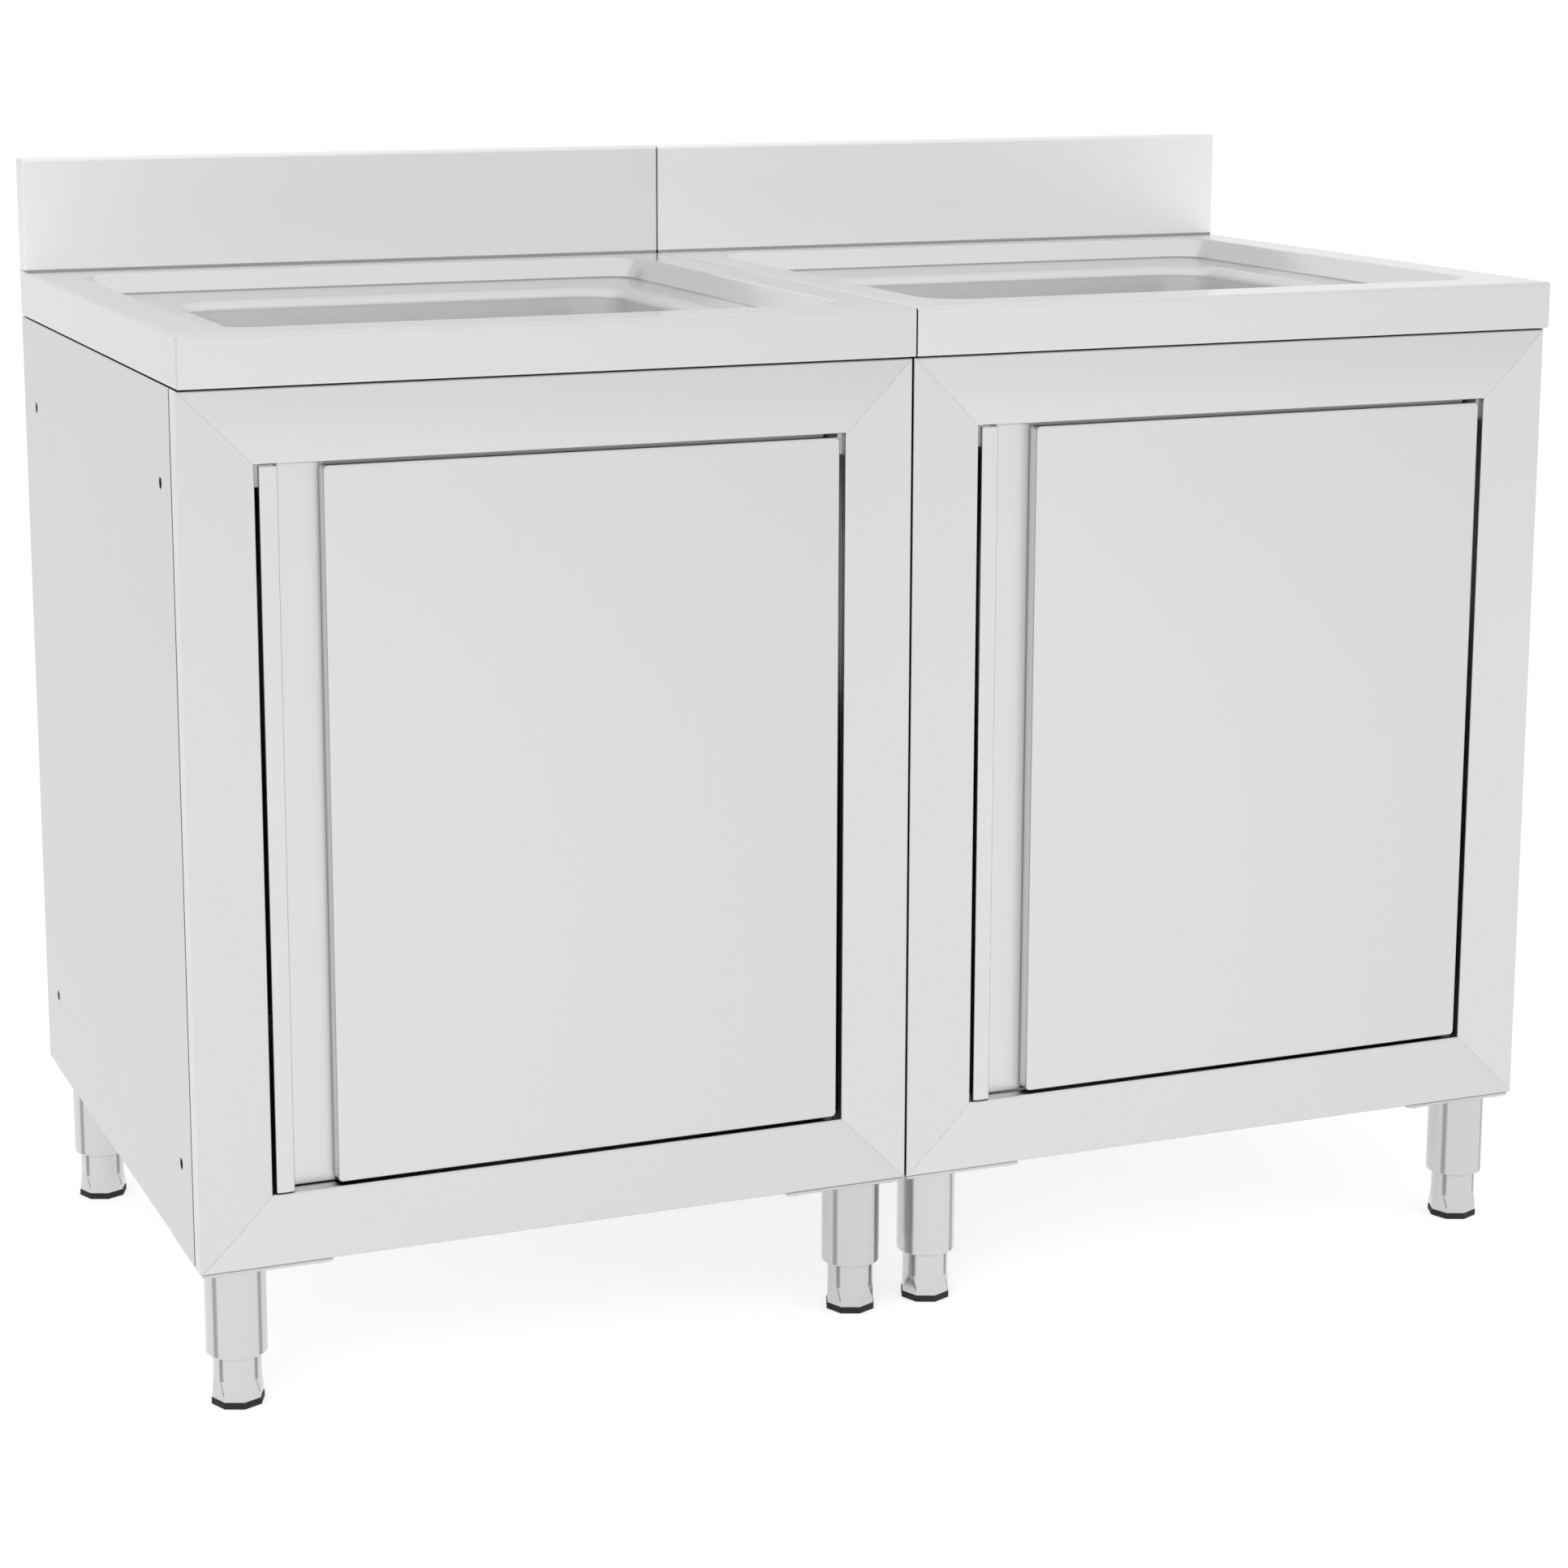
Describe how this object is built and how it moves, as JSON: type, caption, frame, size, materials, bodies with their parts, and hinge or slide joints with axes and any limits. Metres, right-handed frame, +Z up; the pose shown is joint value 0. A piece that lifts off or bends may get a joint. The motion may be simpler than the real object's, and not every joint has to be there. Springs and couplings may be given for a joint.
{
  "type": "kitchen sink unit",
  "caption": "Stainless steel commercial sink unit: side-by-side cabinets with recessed worktops, splashbacks, welded bowls, hinged doors and adjustable legs.",
  "frame": {"origin": "on the floor under the middle of the pair, half way between front and back", "axes": "+Z up, the doors face -Y, +X to the right seen from the front"},
  "size_m": [1.1994, 0.607, 0.95],
  "materials": {
    "worktop_steel": "fine satin, brushed along its length",
    "bowl_steel": "pressed and satin polished",
    "cabinet_steel": "satin sheet",
    "frame_steel": "satin sheet, mitred",
    "door_steel": "satin sheet, brushed upright",
    "leg_steel": "drawn tube, soft shine",
    "strainer_steel": "polished",
    "fixing_steel": "plain",
    "sole_rubber": "matt black",
    "bush_plastic": "moulded",
    "catch_plastic": "moulded",
    "pipe_plastic": "moulded"
  },
  "bodies": {
    "root": {"left_worktop": "worktop_steel", "left_sink_bowl": "bowl_steel", "left_waste_strainer": "strainer_steel", "left_waste_nut": "pipe_plastic", "left_waste_outlet": "pipe_plastic", "left_side_panel_left": "cabinet_steel", "left_side_panel_right": "cabinet_steel", "left_back_panel": "cabinet_steel", "left_bottom_panel": "cabinet_steel", "left_frame_stile_left": "frame_steel", "left_frame_stile_right": "frame_steel", "left_frame_rail_bottom": "frame_steel", "left_frame_rail_top": "frame_steel", "left_door_stop": "cabinet_steel", "left_magnet_catch": "catch_plastic", "left_hinge_pins": "fixing_steel", "left_leg_mounts": "leg_steel", "right_worktop": "worktop_steel", "right_sink_bowl": "bowl_steel", "right_waste_strainer": "strainer_steel", "right_waste_nut": "pipe_plastic", "right_waste_outlet": "pipe_plastic", "right_side_panel_left": "cabinet_steel", "right_side_panel_right": "cabinet_steel", "right_back_panel": "cabinet_steel", "right_bottom_panel": "cabinet_steel", "right_frame_stile_left": "frame_steel", "right_frame_stile_right": "frame_steel", "right_frame_rail_bottom": "frame_steel", "right_frame_rail_top": "frame_steel", "right_door_stop": "cabinet_steel", "right_magnet_catch": "catch_plastic", "right_hinge_pins": "fixing_steel", "right_leg_mounts": "leg_steel", "leg_bolts": "fixing_steel", "joining_bolts": "fixing_steel"},
    "left_door": {"left_door_front": "door_steel", "left_door_back": "door_steel", "left_door_grip": "door_steel", "left_hinge_bushes": "bush_plastic"},
    "left_foot_front_left": {"left_foot_front_left": "leg_steel", "left_sole_front_left": "sole_rubber"},
    "left_foot_front_right": {"left_foot_front_right": "leg_steel", "left_sole_front_right": "sole_rubber"},
    "left_foot_rear_left": {"left_foot_rear_left": "leg_steel", "left_sole_rear_left": "sole_rubber"},
    "left_foot_rear_right": {"left_foot_rear_right": "leg_steel", "left_sole_rear_right": "sole_rubber"},
    "right_door": {"right_door_front": "door_steel", "right_door_back": "door_steel", "right_door_grip": "door_steel", "right_hinge_bushes": "bush_plastic"},
    "right_foot_front_left": {"right_foot_front_left": "leg_steel", "right_sole_front_left": "sole_rubber"},
    "right_foot_front_right": {"right_foot_front_right": "leg_steel", "right_sole_front_right": "sole_rubber"},
    "right_foot_rear_left": {"right_foot_rear_left": "leg_steel", "right_sole_rear_left": "sole_rubber"},
    "right_foot_rear_right": {"right_foot_rear_right": "leg_steel", "right_sole_rear_right": "sole_rubber"}
  },
  "joints": [
    {"name": "left_door_hinge", "type": "hinge", "parent": "root", "child": "left_door", "pos_m": [-0.0695, -0.2895, 0.4649], "axis": [0, 0, 1], "range_deg": [0, 105]},
    {"name": "left_foot_front_left_screw", "type": "slide", "parent": "root", "child": "left_foot_front_left", "axis": [0, 0, 1], "range_m": [-0.03, 0.015]},
    {"name": "left_foot_front_right_screw", "type": "slide", "parent": "root", "child": "left_foot_front_right", "axis": [0, 0, 1], "range_m": [-0.03, 0.015]},
    {"name": "left_foot_rear_left_screw", "type": "slide", "parent": "root", "child": "left_foot_rear_left", "axis": [0, 0, 1], "range_m": [-0.03, 0.015]},
    {"name": "left_foot_rear_right_screw", "type": "slide", "parent": "root", "child": "left_foot_rear_right", "axis": [0, 0, 1], "range_m": [-0.03, 0.015]},
    {"name": "right_door_hinge", "type": "hinge", "parent": "root", "child": "right_door", "pos_m": [0.5305, -0.2895, 0.4649], "axis": [0, 0, 1], "range_deg": [0, 105]},
    {"name": "right_foot_front_left_screw", "type": "slide", "parent": "root", "child": "right_foot_front_left", "axis": [0, 0, 1], "range_m": [-0.03, 0.015]},
    {"name": "right_foot_front_right_screw", "type": "slide", "parent": "root", "child": "right_foot_front_right", "axis": [0, 0, 1], "range_m": [-0.03, 0.015]},
    {"name": "right_foot_rear_left_screw", "type": "slide", "parent": "root", "child": "right_foot_rear_left", "axis": [0, 0, 1], "range_m": [-0.03, 0.015]},
    {"name": "right_foot_rear_right_screw", "type": "slide", "parent": "root", "child": "right_foot_rear_right", "axis": [0, 0, 1], "range_m": [-0.03, 0.015]}
  ]
}
